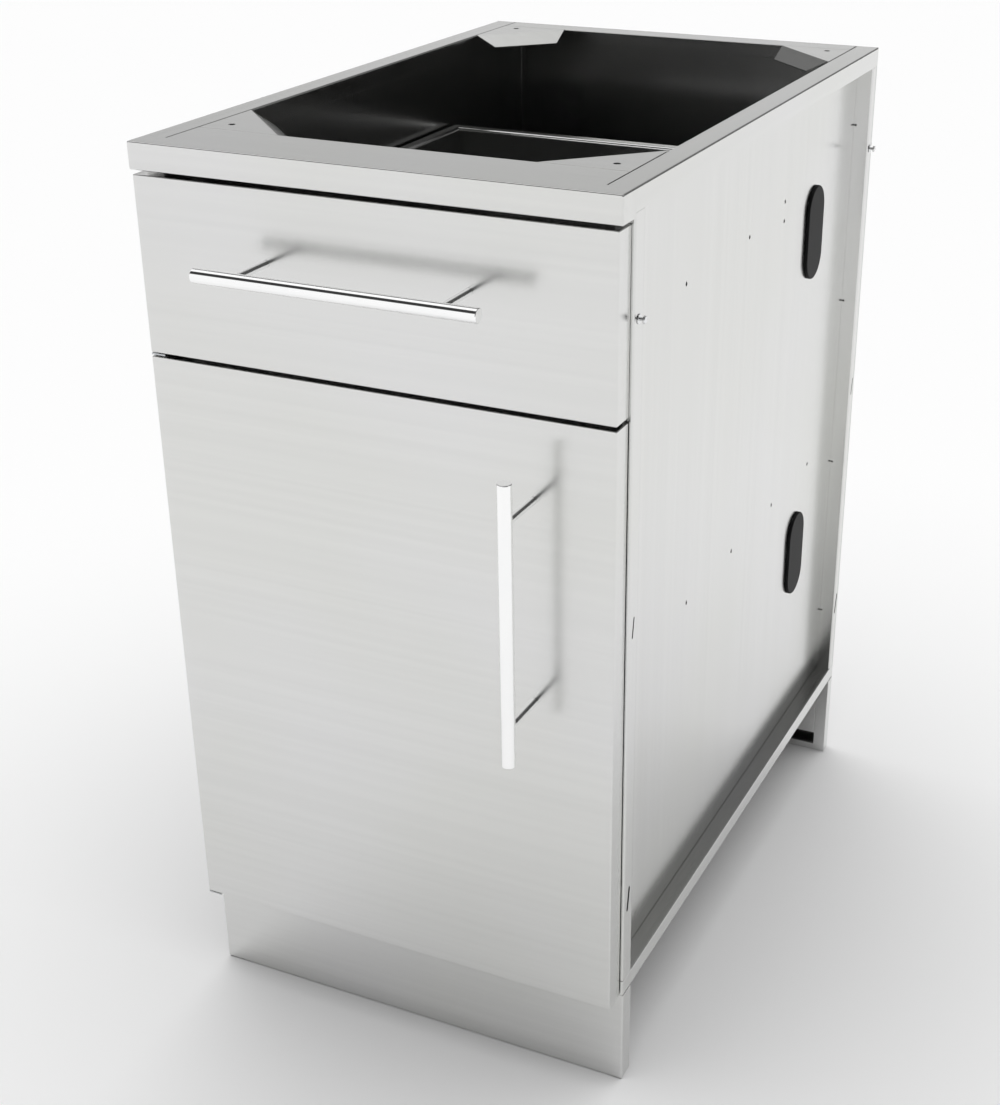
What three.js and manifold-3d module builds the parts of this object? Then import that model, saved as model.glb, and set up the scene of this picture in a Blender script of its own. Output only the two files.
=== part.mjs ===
// Outdoor kitchen base cabinet: one drawer over one door, in folded brushed steel sheet.
// Millimetres, +Z up, +X to the right of someone facing the fronts, +Y towards the back.
import * as THREE from 'three';
import { mergeVertices } from 'three/addons/utils/BufferGeometryUtils.js';
import Module from 'manifold-3d';

const wasm = await Module();
wasm.setup();

// Overall sizes
const cabinetWidth = 457.2;
const cabinetDepth = 704.8;
const cabinetHeight = 876.3;
const plinthHeight = 103.1;

// Sheet, seams and cuts
const sheet = 1.2;
const seam = 0.2;
const overrun = 2;
const roundSides = 12;

// Frame round the fronts and the sides
const frameSetback = 24.6;
const sideRecess = 17;
const frontStileDepth = 19.8;
const rearStileDepth = 14;
const rearStileWidth = 38.6;
const sillHeight = 17.9;
const rimHeight = 18.9;
const rimLip = 6.2;

// Top rails and their corner gussets
const frontRailHeight = 24.4;
const frontRailDepth = 25;
const frontPlateDepth = 72;
const rearPlateDepth = 28;
const frontGussetLeg = 80;
const rearGussetLeg = 75;
const gussetLipReach = 17;
const gussetLipDrop = 11;
const gussetMitre = 16.5;
const gussetHoleRadius = 3.2;
const gussetHoleInset = 20;
const rearGussetHoleInset = 14;

// Fronts
const frontThickness = 22.6;
const frontSideMargin = 3.1;
const frontGap = 3.6;
const drawerFrontHeight = 159.1;
const doorBottomGap = 0.9;

// Middle rail behind the gap between the fronts
const middleRailLap = 7.8;
const middleRailHeight = 25;
const middleRailDepth = 25;

// Drawer box
const slideSpace = 14.8;
const drawerSideFlange = 10.4;
const drawerBackFlange = 12;
const drawerBoxRise = 5;
const drawerBoxHeight = 85;
const drawerBoxFrontRise = 13;
const drawerBackClearance = 18;

// Three-part drawer slides
const slideFrontClearance = 2.6;
const slidePlugClearance = 11.5;
const slideDrop = 32;
const slideHeight = 45;
const slideSheet = 1.2;
const slideGap = 0.3;
const slideWebGap = 0.6;
const outerFlange = 8.2;
const middleFlange = 7.2;
const slideTipGap = 1;

// Screws, and the studs that carry the shelf and the slides
const holeClearance = 0.3;
const screwRadius = 1.8;
const screwHeadRadius = 3.5;
const screwHeadHeight = 2;
const studShankRadius = 1.8;
const studSink = 0.1;
const slideStudFrontReach = 157.8;
const slideStudMiddleReach = 323.8;
const slideStudPairInset = 64;
const slideStudPairSpacing = 19.6;
const shelfStudInset = 30.5;
const shelfStudCount = 4;

// Shelf
const shelfHeightShare = 0.589;
const shelfFlange = 25;
const shelfDepth = 442;
const shelfBackGap = 67.6;

// Bar handles
const barRadius = 6.35;
const barLength = 264;
const barChamfer = 0.8;
const barStandoff = 53;
const barSides = 24;
const postRadius = 3.25;
const postSpacing = 192;
const postSides = 16;
const postBoreDepth = 10;
const drawerBarDrop = 63.3;
const doorBarInset = 74.5;
const doorBarDrop = 36.6;

// Door pivots
const pivotInset = 4.4;
const pivotSetback = 4.6;
const pivotPinRadius = 2;
const pivotPinLength = 14;
const pivotBoreClearance = 0.08;
const pivotCollarWall = 0.6;
const pivotPlateThickness = 1.5;
const pivotPlateWidth = 14.5;
const pivotPlateMargin = 2.6;
const pivotPlateFront = 1;
const pivotTopGap = 1.1;
const bushHeight = 12;
const bushLength = 10;

// Door catch and bumpers
const catchInset = 70.4;
const catchWidth = 40;
const catchDepth = 20;
const catchHeight = 12;
const strikeThickness = 1.7;
const bumperRadius = 4;
const bumperInset = 26;

// Cable plugs in the side panels
const plugWidth = 51;
const plugHeight = 99;
const plugProud = 3.5;
const plugRim = 3;
const plugReach = 5;
const plugInset = 132.6;
const upperPlugDrop = 167.3;
const lowerPlugDrop = 34.5;
const plugArcSteps = 10;

// Slots, holes and studs that join two cabinets side by side
const studDrop = 106.5;
const studCollarRadius = 4.2;
const studCollarHeight = 0.9;
const studRadius = 1.5;
const studReach = 6.2;
const studHeadRadius = 3.2;
const studHeadHeight = 2;
const studTail = 2;
const lowerSlotRise = 89;
const lowerSlotLength = 26;
const lowerSlotWidth = 3.6;
const middleSlotDrop = 382.3;
const middleSlotLength = 20;
const middleSlotWidth = 2.4;
const slotLean = THREE.MathUtils.degToRad(10);
const slotArcSteps = 4;
const tieHoleRadius = 1.6;
const tieHoleInset = 3;
const tieHoleDrop = 80.9;
const tieHoleRise = 80.5;
const tieHoleCount = 4;

// Plinth
const toeKickSetback = 25.9;
const toeKickReturn = 19;
const rearToeDepth = 15.2;
const rearToeSideLip = 14;
const rearToeBottomLip = 9;
const rearBraceBottom = 25;

// Places worked out from the sizes above
const halfWidth = cabinetWidth / 2;
const panelFace = halfWidth - sideRecess;
const panelBack = panelFace - sheet;
const rimInner = panelBack - rimLip;
const sillTop = plinthHeight + sillHeight;
const rimBottom = cabinetHeight - rimHeight;
const frontStileBack = frameSetback + frontStileDepth;
const backPanelFront = cabinetDepth - sheet;
const rearStileFront = backPanelFront - rearStileDepth;
const plateUnderside = cabinetHeight - sheet;
const plinthTop = plinthHeight - seam;
const frontHalfWidth = halfWidth - frontSideMargin;
const drawerFrontTop = cabinetHeight - frontRailHeight - frontGap;
const drawerFrontBottom = drawerFrontTop - drawerFrontHeight;
const doorTop = drawerFrontBottom - frontGap;
const doorBottom = plinthHeight + doorBottomGap;
const middleRailTop = drawerFrontBottom + middleRailLap;
const middleRailBottom = middleRailTop - middleRailHeight;
const shelfTop = sillTop + shelfHeightShare * (middleRailBottom - sillTop);
const shelfFoot = shelfTop - shelfFlange;
const shelfBack = rearStileFront - shelfBackGap;
const shelfFront = shelfBack - shelfDepth;
const drawerWallHalfSpan = panelBack - slideSpace;
const drawerFlangeHalfSpan = drawerWallHalfSpan + drawerSideFlange;
const drawerBoxBottom = middleRailTop + drawerBoxRise;
const drawerBoxTop = drawerBoxBottom + drawerBoxHeight;
const drawerBoxFrontTop = drawerBoxTop + drawerBoxFrontRise;
const plugPlace = rearStileFront - plugInset;
const slideFront = frameSetback + slideFrontClearance;
const slideBack = plugPlace - plugWidth / 2 - slidePlugClearance;
const slideCentreHeight = drawerBoxTop - slideDrop;
const drawerBoxBack = slideBack + drawerBackClearance;
const drawerBarHeight = drawerFrontTop - drawerBarDrop;
const doorBarPlace = frontHalfWidth - doorBarInset;
const doorBarCentre = doorTop - doorBarDrop - barLength / 2;
const pivotPlace = pivotInset - frontHalfWidth;
const studHeight = cabinetHeight - studDrop;
const frontStudPlace = frameSetback + frontStileDepth / 2;
const rearStudPlace = backPanelFront - rearStileDepth / 2;

// Basic solids, each a geometry given by its lower and upper faces along X, Y and Z
function block([x0, x1], [y0, y1], [z0, z1]) {
  const geometry = new THREE.BoxGeometry(x1 - x0, y1 - y0, z1 - z0);
  return geometry.translate((x0 + x1) / 2, (y0 + y1) / 2, (z0 + z1) / 2);
}

// Rod along one axis between two ends, centred on the other two coordinates
function rod(axis, radius, [low, high], [a, b], sides = roundSides) {
  const geometry = new THREE.CylinderGeometry(radius, radius, high - low, sides);
  const middle = (low + high) / 2;
  if (axis === 'x') {
    return geometry.rotateZ(Math.PI / 2).translate(middle, a, b);
  }
  if (axis === 'y') {
    return geometry.translate(a, middle, b);
  }
  return geometry.rotateX(Math.PI / 2).translate(a, b, middle);
}

// Outline in the Y and Z plane, pushed along X from one place to another
function sidePlate(shape, [x0, x1], curveSegments = roundSides) {
  const settings = { depth: x1 - x0, bevelEnabled: false, curveSegments };
  const geometry = new THREE.ExtrudeGeometry(shape, settings);
  const turn = new THREE.Matrix4().makeBasis(
    new THREE.Vector3(0, 1, 0),
    new THREE.Vector3(0, 0, 1),
    new THREE.Vector3(1, 0, 0),
  );
  return geometry.applyMatrix4(turn).translate(x0, 0, 0);
}

// Oblong with round ends, standing upright about a centre
function oblong([y, z], width, height, lean = 0) {
  const radius = width / 2;
  const reach = height / 2 - radius;
  const along = new THREE.Vector2(Math.sin(lean), Math.cos(lean)).multiplyScalar(reach);
  const shape = new THREE.Shape();
  shape.absarc(y + along.x, z + along.y, radius, -lean, Math.PI - lean);
  shape.absarc(y - along.x, z - along.y, radius, Math.PI - lean, 2 * Math.PI - lean);
  return shape;
}

// Evenly spread places from one end to the other
function spread(first, last, count) {
  return Array.from({ length: count }, (_, step) => first + (step * (last - first)) / (count - 1));
}

// Joining and cutting
function toSolid(geometry) {
  const bare = geometry.clone();
  bare.deleteAttribute('normal');
  bare.deleteAttribute('uv');
  const merged = mergeVertices(bare);
  const vertProperties = new Float32Array(merged.attributes.position.array);
  const triVerts = new Uint32Array(merged.index.array);
  return new wasm.Manifold(new wasm.Mesh({ numProp: 3, vertProperties, triVerts }));
}

function toGeometry(solid) {
  const mesh = solid.getMesh();
  const geometry = new THREE.BufferGeometry();
  geometry.setAttribute('position', new THREE.BufferAttribute(mesh.vertProperties, 3));
  geometry.setIndex(new THREE.BufferAttribute(mesh.triVerts, 1));
  return geometry;
}

function join(...geometries) {
  const solids = geometries.map(toSolid);
  return toGeometry(solids.reduce((whole, next) => whole.add(next)));
}

function cut(geometry, ...tools) {
  const solids = tools.map(toSolid);
  return toGeometry(solids.reduce((whole, tool) => whole.subtract(tool), toSolid(geometry)));
}

// Materials
function metal(color, roughness) {
  return new THREE.MeshStandardMaterial({ color, roughness, metalness: 1 });
}

function plastic(color, roughness) {
  return new THREE.MeshStandardMaterial({ color, roughness, metalness: 0 });
}

const brushedSteel = () => metal(0xd7d8d3, 0.34);
const polishedSteel = () => metal(0xeceded, 0.08);
const zincSteel = () => metal(0xb9bcbf, 0.4);
const blackPlastic = () => plastic(0x2a2a2b, 0.5);
const whiteNylon = () => plastic(0xdcdcd6, 0.55);
const clearRubber = () => plastic(0xc9c9c4, 0.7);

const cabinet = new THREE.Group();

function add(name, geometry, material) {
  const mesh = new THREE.Mesh(geometry, material);
  mesh.name = name;
  cabinet.add(mesh);
}

// Left and right pieces are made once for the right and turned over for the left
const sides = [
  { name: 'right', sign: 1 },
  { name: 'left', sign: -1 },
];

function turnedOver(geometry) {
  const mirrored = geometry.clone().scale(-1, 1, 1);
  const whole = mirrored.index ? mirrored : mergeVertices(mirrored);
  const index = whole.index.array;
  for (let corner = 0; corner < index.length; corner += 3) {
    [index[corner], index[corner + 1]] = [index[corner + 1], index[corner]];
  }
  return whole;
}

function addBothSides(name, makeGeometry, makeMaterial) {
  for (const side of sides) {
    const geometry = makeGeometry(side);
    add(`${name}_${side.name}`, side.sign > 0 ? geometry : turnedOver(geometry), makeMaterial());
  }
}

// Slots and stud holes through the outer face of a stile
function joiningCuts(centre) {
  const through = [halfWidth - sheet - overrun, halfWidth + overrun];
  const lowerPlace = [centre, sillTop + lowerSlotRise];
  const middlePlace = [centre, cabinetHeight - middleSlotDrop];
  const lower = oblong(lowerPlace, lowerSlotWidth, lowerSlotLength, slotLean);
  const middle = oblong(middlePlace, middleSlotWidth, middleSlotLength, slotLean);
  const hookHoleRadius = studRadius + holeClearance;
  return [
    sidePlate(lower, through, slotArcSteps),
    sidePlate(middle, through, slotArcSteps),
    rod('x', hookHoleRadius, through, [centre, studHeight]),
  ];
}

// Box section with its ends open along Z
function uprightTube([x0, x1], [y0, y1], [z0, z1]) {
  const hollow = block(
    [x0 + sheet, x1 - sheet],
    [y0 + sheet, y1 - sheet],
    [z0 - overrun, z1 + overrun],
  );
  return cut(block([x0, x1], [y0, y1], [z0, z1]), hollow);
}

const stileSpan = [sillTop + seam, rimBottom - seam];

function frontStile() {
  const tube = uprightTube([panelBack, halfWidth], [frameSetback, frontStileBack], stileSpan);
  return cut(tube, ...joiningCuts(frontStudPlace));
}

// The rear stile's front wall carries a row of small tie holes beside the side panel
function rearStile() {
  const inner = halfWidth - rearStileWidth;
  const tube = uprightTube([inner, halfWidth], [rearStileFront, backPanelFront - seam], stileSpan);
  const through = [rearStileFront - overrun, rearStileFront + sheet + overrun];
  const heights = spread(sillTop + tieHoleRise, cabinetHeight - tieHoleDrop, tieHoleCount);
  const tieHoles = heights.map((height) =>
    rod('y', tieHoleRadius, through, [panelFace + tieHoleInset, height]));
  return cut(tube, ...joiningCuts(rearStudPlace), ...tieHoles);
}

// Sill under each side panel: a box section closed at the front and open at the back
function bottomSideRail() {
  const back = backPanelFront - seam;
  const outer = block([panelBack, halfWidth], [frameSetback, back], [plinthHeight, sillTop]);
  const hollow = block(
    [panelBack + sheet, halfWidth - sheet],
    [frameSetback + sheet, back + overrun],
    [plinthHeight + sheet, sillTop - sheet],
  );
  return cut(outer, hollow);
}

// Rim along the top of each side: a box section with a thin lip over the opening
function topSideRail() {
  const along = [frontRailDepth + seam, backPanelFront - seam];
  const outer = block([panelBack, halfWidth], along, [rimBottom, cabinetHeight]);
  const hollow = block(
    [panelBack + sheet, halfWidth - sheet],
    [along[0] - overrun, along[1] + overrun],
    [rimBottom + sheet, plateUnderside],
  );
  const lip = block([rimInner, panelBack + sheet], along, [plateUnderside, cabinetHeight]);
  return join(cut(outer, hollow), lip);
}

// Stud places on the side panels, as pairs of Y and Z
const shelfStudHeight = shelfTop - shelfFlange / 2;
const shelfStudSpan = [shelfFront + shelfStudInset, shelfBack - shelfStudInset];
const shelfStudPlaces = spread(...shelfStudSpan, shelfStudCount).map((place) => [place, shelfStudHeight]);
const slideStudPlaces = [
  [slideFront + slideStudFrontReach, slideCentreHeight],
  [slideFront + slideStudMiddleReach, slideCentreHeight],
  [slideBack - slideStudPairInset, slideCentreHeight - slideStudPairSpacing / 2],
  [slideBack - slideStudPairInset, slideCentreHeight + slideStudPairSpacing / 2],
];
const studHoleRadius = studShankRadius + holeClearance;

const plugPlaces = [
  { name: 'upper', height: cabinetHeight - upperPlugDrop },
  { name: 'lower', height: shelfFoot - lowerPlugDrop - plugHeight / 2 },
];
const plugHoleWidth = plugWidth - 2 * plugRim;
const plugHoleHeight = plugHeight - 2 * plugRim;

function sidePanel() {
  const plate = block(
    [panelBack, panelFace],
    [frontStileBack + seam, rearStileFront - seam],
    stileSpan,
  );
  const through = [panelBack - overrun, panelFace + overrun];
  const studHoles = [...shelfStudPlaces, ...slideStudPlaces].map((place) =>
    rod('x', studHoleRadius, through, place));
  const plugHoles = plugPlaces.map(({ height }) =>
    sidePlate(oblong([plugPlace, height], plugHoleWidth, plugHoleHeight), through, plugArcSteps));
  return cut(plate, ...studHoles, ...plugHoles);
}

addBothSides('side_panel', sidePanel, brushedSteel);
addBothSides('front_stile', frontStile, brushedSteel);
addBothSides('rear_stile', rearStile, brushedSteel);
addBothSides('bottom_side_rail', bottomSideRail, brushedSteel);
addBothSides('top_side_rail', topSideRail, brushedSteel);

// Black oblong plugs: a proud rim outside and a body through the panel
function cablePlug(height) {
  const centre = [plugPlace, height];
  const bodyWidth = plugHoleWidth - 2 * holeClearance;
  const bodyHeight = plugHoleHeight - 2 * holeClearance;
  const rim = sidePlate(
    oblong(centre, plugWidth, plugHeight),
    [panelFace + seam, panelFace + plugProud],
    plugArcSteps,
  );
  const body = sidePlate(
    oblong(centre, bodyWidth, bodyHeight),
    [panelBack - plugReach, panelFace + plugProud - sheet],
    plugArcSteps,
  );
  return join(rim, body);
}

for (const { name, height } of plugPlaces) {
  addBothSides(`cable_plug_${name}`, () => cablePlug(height), blackPlastic);
}

// Studs on the right side only, which hook into the next cabinet
function connectorStud(place) {
  const at = [place, studHeight];
  const shankFoot = halfWidth - sheet - studTail;
  return [
    rod('x', studRadius, [shankFoot, halfWidth + studReach], at),
    rod('x', studCollarRadius, [halfWidth + seam, halfWidth + studCollarHeight], at),
    rod('x', studHeadRadius, [halfWidth + studReach - studHeadHeight, halfWidth + studReach], at),
  ];
}

add('connector_stud_front', join(...connectorStud(frontStudPlace)), zincSteel());
add('connector_stud_rear', join(...connectorStud(rearStudPlace)), zincSteel());

// Front top rail: face, underside return, wide top plate and closed ends
function frontTopRail() {
  const railBottom = cabinetHeight - frontRailHeight;
  const fullWidth = [-halfWidth, halfWidth];
  const plateReach = rimInner - seam;
  const face = block(fullWidth, [0, sheet], [railBottom, cabinetHeight]);
  const underside = block(fullWidth, [0, frameSetback - seam], [railBottom, railBottom + sheet]);
  const rimStrip = block(fullWidth, [0, frontRailDepth], [plateUnderside, cabinetHeight]);
  const plate = block(
    [-plateReach, plateReach],
    [0, frontPlateDepth],
    [plateUnderside, cabinetHeight],
  );
  const ends = sides.flatMap(({ sign }) => {
    const span = [sign * halfWidth, sign * (halfWidth - sheet)].sort((a, b) => a - b);
    return [
      block(span, [0, frameSetback - seam], [railBottom, cabinetHeight]),
      block(span, [0, frontRailDepth], [rimBottom, cabinetHeight]),
    ];
  });
  return join(face, underside, rimStrip, plate, ...ends);
}

add('front_top_rail', frontTopRail(), brushedSteel());

// Rear top rail: an angle with its upright leg against the back panel
function rearTopRail() {
  const reach = rimInner - seam;
  const back = backPanelFront - seam;
  const front = cabinetDepth - rearPlateDepth;
  const plate = block([-reach, reach], [front, back], [plateUnderside, cabinetHeight]);
  const leg = block([-reach, reach], [back - sheet, back], [rimBottom, cabinetHeight]);
  return join(plate, leg);
}

add('rear_top_rail', rearTopRail(), brushedSteel());

// Corner gusset: a three-sided plate with a hole for the worktop screw and a mitred lip that
// slopes down from its long edge. The corner lies at the origin, the legs run along -X and +Y.
function gusset(leg, holeInset) {
  const corner = new THREE.Shape();
  corner.moveTo(0, 0);
  corner.lineTo(0, leg);
  corner.lineTo(-leg, 0);
  corner.closePath();
  const plate = new THREE.ExtrudeGeometry(corner, { depth: sheet, bevelEnabled: false });
  const hole = rod('z', gussetHoleRadius, [-overrun, sheet + overrun], [-gussetHoleInset, holeInset]);
  const longEdge = leg * Math.SQRT2;
  const endTrim = sheet;
  const lipLength = Math.hypot(gussetLipReach, gussetLipDrop);
  const lipSlope = Math.atan2(gussetLipDrop, gussetLipReach);
  const lipOutline = new THREE.Shape();
  lipOutline.moveTo(endTrim, 0);
  lipOutline.lineTo(gussetMitre, -lipLength);
  lipOutline.lineTo(longEdge - gussetMitre, -lipLength);
  lipOutline.lineTo(longEdge - endTrim, 0);
  lipOutline.closePath();
  const lip = new THREE.ExtrudeGeometry(lipOutline, { depth: sheet, bevelEnabled: false });
  lip.rotateX(Math.PI - lipSlope).translate(0, 0, sheet);
  lip.rotateZ(Math.PI / 4);
  lip.translate(-leg, 0, 0);
  return join(cut(plate, hole), lip);
}

const gussetRows = [
  { name: 'front', leg: frontGussetLeg, hole: gussetHoleInset, place: frontPlateDepth + seam, ahead: 1 },
  {
    name: 'rear',
    leg: rearGussetLeg,
    hole: rearGussetHoleInset,
    place: cabinetDepth - rearPlateDepth - seam,
    ahead: -1,
  },
];

for (const row of gussetRows) {
  addBothSides(`gusset_${row.name}`, () => {
    const plain = gusset(row.leg, row.hole);
    const placed = row.ahead > 0 ? plain : turnedOver(plain).rotateZ(Math.PI);
    return placed.translate(rimInner - seam, row.place, plateUnderside);
  }, brushedSteel);
}

// Floor pan between the sills, folded down at the front and the back
function floorPan() {
  const reach = panelBack - seam;
  const back = backPanelFront - seam;
  const deck = block([-reach, reach], [frameSetback, back], [sillTop - sheet, sillTop]);
  const front = block([-reach, reach], [frameSetback, frameSetback + sheet], [plinthHeight, sillTop]);
  const rear = block([-reach, reach], [back - sheet, back], [plinthHeight, sillTop]);
  return join(deck, front, rear);
}

add('floor_pan', floorPan(), brushedSteel());

const backPanel = block(
  [-halfWidth, halfWidth],
  [backPanelFront, cabinetDepth],
  [plinthHeight, cabinetHeight],
);
add('back_panel', backPanel, brushedSteel());

// Middle rail: a box section between the front stiles
function middleRail() {
  const reach = panelBack - seam;
  const back = frameSetback + middleRailDepth;
  const outer = block([-reach, reach], [frameSetback, back], [middleRailBottom, middleRailTop]);
  const hollow = block(
    [-reach - overrun, reach + overrun],
    [frameSetback + sheet, back - sheet],
    [middleRailBottom + sheet, middleRailTop - sheet],
  );
  return cut(outer, hollow);
}

add('middle_rail', middleRail(), brushedSteel());

// Toe kick: a set-back board folded back along its ends, its top and its foot
function toeKick() {
  const along = [-halfWidth, halfWidth];
  const back = toeKickSetback + toeKickReturn;
  const outer = block(along, [toeKickSetback, back], [0, plinthTop]);
  const hollow = block(
    [-halfWidth + sheet, halfWidth - sheet],
    [toeKickSetback + sheet, back + overrun],
    [sheet, plinthTop - sheet],
  );
  return cut(outer, hollow);
}

add('toe_kick', toeKick(), brushedSteel());

// Rear toe plate: the back board of the plinth, folded forward and in again at its ends and foot
function rearToePlate() {
  const front = cabinetDepth - rearToeDepth;
  const outer = block([-halfWidth, halfWidth], [front, cabinetDepth], [0, plinthTop]);
  const hollow = block(
    [-halfWidth + sheet, halfWidth - sheet],
    [front + sheet, cabinetDepth - sheet],
    [sheet, plinthTop + overrun],
  );
  const mouthReach = halfWidth - rearToeSideLip;
  const mouth = block(
    [-mouthReach, mouthReach],
    [front - overrun, front + sheet + overrun],
    [rearToeBottomLip, plinthTop + overrun],
  );
  return cut(outer, hollow, mouth);
}

add('rear_toe_plate', rearToePlate(), brushedSteel());

// Brace across the mouth of the rear toe plate, which leaves a long slot at its foot
const braceReach = halfWidth - rearToeSideLip - seam;
const rearToeBrace = block(
  [-braceReach, braceReach],
  [cabinetDepth - rearToeDepth, cabinetDepth - rearToeDepth + sheet],
  [rearBraceBottom, plinthTop],
);
add('rear_toe_brace', rearToeBrace, brushedSteel());

// Studs welded to a shelf or a slide, which end just short of the panel's outer face
function panelStuds(places, root) {
  return places.map((place) => rod('x', studShankRadius, [root, panelFace - studSink], place));
}

function bothSidesOf(geometries) {
  return [...geometries, ...geometries.map(turnedOver)];
}

// Shelf: a pan folded down all round, held by its studs in the side panels
const shelfReach = panelBack - seam;

function shelf() {
  const outer = block([-shelfReach, shelfReach], [shelfFront, shelfBack], [shelfFoot, shelfTop]);
  const hollow = block(
    [-shelfReach + sheet, shelfReach - sheet],
    [shelfFront + sheet, shelfBack - sheet],
    [shelfFoot - overrun, shelfTop - sheet],
  );
  const studs = panelStuds(shelfStudPlaces, shelfReach - sheet / 2);
  return join(cut(outer, hollow), ...bothSidesOf(studs));
}

add('shelf', shelf(), brushedSteel());

// Drawer slides: the outer part on the cabinet, the inner part on the drawer and one between
const slideSpan = [slideFront, slideBack];
const outerHalf = slideHeight / 2;
const middleHalf = outerHalf - slideSheet - slideGap;
const innerHalf = middleHalf - slideSheet - slideGap;
const outerWebFace = panelBack - seam;
const middleWebFace = outerWebFace - slideSheet - slideWebGap;
const innerWebBack = drawerWallHalfSpan + seam;

function channel([tip, webFace], half, opensInward) {
  const wall = block(
    opensInward ? [webFace - slideSheet, webFace] : [tip, tip + slideSheet],
    slideSpan,
    [slideCentreHeight - half, slideCentreHeight + half],
  );
  const lower = block(
    [tip, webFace],
    slideSpan,
    [slideCentreHeight - half, slideCentreHeight - half + slideSheet],
  );
  const upper = block(
    [tip, webFace],
    slideSpan,
    [slideCentreHeight + half - slideSheet, slideCentreHeight + half],
  );
  return join(wall, lower, upper);
}

function outerSlide() {
  const tip = outerWebFace - slideSheet - outerFlange;
  const studs = panelStuds(slideStudPlaces, outerWebFace - slideSheet / 2);
  return join(channel([tip, outerWebFace], outerHalf, true), ...studs);
}

function middleSlide() {
  return channel([middleWebFace - slideSheet - middleFlange, middleWebFace], middleHalf, true);
}

function innerSlide() {
  const reach = middleWebFace - slideSheet - slideTipGap;
  return channel([innerWebBack, reach], innerHalf, false);
}

addBothSides('slide_outer', outerSlide, zincSteel);
addBothSides('slide_middle', middleSlide, zincSteel);
addBothSides('slide_inner', innerSlide, zincSteel);

// A front is a folded skin with a flat liner let into its back
const linerBack = frontThickness - seam;

function frontSkin([z0, z1]) {
  const outer = block([-frontHalfWidth, frontHalfWidth], [0, frontThickness], [z0, z1]);
  const hollow = block(
    [sheet - frontHalfWidth, frontHalfWidth - sheet],
    [sheet, frontThickness + overrun],
    [z0 + sheet, z1 - sheet],
  );
  return cut(outer, hollow);
}

function frontLiner([z0, z1]) {
  const edge = sheet + seam;
  return block(
    [edge - frontHalfWidth, frontHalfWidth - edge],
    [linerBack - sheet, linerBack],
    [z0 + edge, z1 - edge],
  );
}

// Holes for the handle screws through a front, at each X and Z place
const screwHoleRadius = screwRadius + holeClearance;

function handleHoles(places, back) {
  return places.map((place) => rod('y', screwHoleRadius, [-overrun, back + overrun], place));
}

// Bar with lightly chamfered ends, along Z and centred on the origin
function plainBar() {
  const half = barLength / 2;
  const profile = [
    [0, -half],
    [barRadius - barChamfer, -half],
    [barRadius, barChamfer - half],
    [barRadius, half - barChamfer],
    [barRadius - barChamfer, half],
    [0, half],
  ];
  const points = profile.map(([radius, height]) => new THREE.Vector2(radius, height));
  return new THREE.LatheGeometry(points, barSides).rotateX(Math.PI / 2);
}

// Bar with its two posts welded on, each bored from behind for its screw
function barHandle(bar, places) {
  const foot = -seam;
  const posts = places.map((place) => rod('y', postRadius, [-barStandoff, foot], place, postSides));
  const bores = places.map((place) =>
    rod('y', screwHoleRadius, [foot - postBoreDepth, foot + overrun], place));
  return cut(join(bar, ...posts), ...bores);
}

// Screws from behind the front into the posts
function addHandleScrews(front, places, headFace) {
  for (const [number, place] of places.entries()) {
    const head = rod('y', screwHeadRadius, [headFace, headFace + screwHeadHeight], place);
    const shank = rod('y', screwRadius, [seam - postBoreDepth, headFace + screwHeadHeight / 2], place);
    add(`${front}_handle_screw_${number + 1}`, join(head, shank), zincSteel());
  }
}

// Drawer front and its handle
const drawerFrontSpan = [drawerFrontBottom, drawerFrontTop];
const drawerPostPlaces = [-1, 1].map((end) => [end * postSpacing / 2, drawerBarHeight]);
const boxFrontFace = linerBack + seam;
const boxFrontBack = boxFrontFace + sheet;
const drawerHoles = handleHoles(drawerPostPlaces, boxFrontBack);
add('drawer_skin', cut(frontSkin(drawerFrontSpan), ...drawerHoles), brushedSteel());
add('drawer_liner', cut(frontLiner(drawerFrontSpan), ...drawerHoles), brushedSteel());

const drawerBar = plainBar().rotateY(Math.PI / 2).translate(0, -barStandoff, drawerBarHeight);
add('drawer_handle', barHandle(drawerBar, drawerPostPlaces), polishedSteel());
addHandleScrews('drawer', drawerPostPlaces, boxFrontBack + seam);

// Drawer box
const boxWallFront = boxFrontBack + seam;
const boxInner = drawerWallHalfSpan - sheet;

const boxFront = block(
  [-drawerWallHalfSpan, drawerWallHalfSpan],
  [boxFrontFace, boxFrontBack],
  [drawerBoxBottom, drawerBoxFrontTop],
);
add('drawer_box_front', cut(boxFront, ...drawerHoles), brushedSteel());

// Each side wall is folded out at the top over its slide
function drawerWall() {
  const along = [boxWallFront, drawerBoxBack - seam];
  const wall = block([boxInner, drawerWallHalfSpan], along, [drawerBoxBottom, drawerBoxTop]);
  const flange = block([boxInner, drawerFlangeHalfSpan], along, [drawerBoxTop - sheet, drawerBoxTop]);
  return join(wall, flange);
}

addBothSides('drawer_wall', drawerWall, brushedSteel);

function drawerBack() {
  const wall = block(
    [-drawerWallHalfSpan, drawerWallHalfSpan],
    [drawerBoxBack, drawerBoxBack + sheet],
    [drawerBoxBottom, drawerBoxTop],
  );
  const flange = block(
    [-drawerFlangeHalfSpan, drawerFlangeHalfSpan],
    [drawerBoxBack, drawerBoxBack + drawerBackFlange],
    [drawerBoxTop - sheet, drawerBoxTop],
  );
  return join(wall, flange);
}

add('drawer_back', drawerBack(), brushedSteel());

const drawerBottom = block(
  [seam - boxInner, boxInner - seam],
  [boxWallFront, drawerBoxBack - seam],
  [drawerBoxBottom, drawerBoxBottom + sheet],
);
add('drawer_bottom', drawerBottom, brushedSteel());

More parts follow.
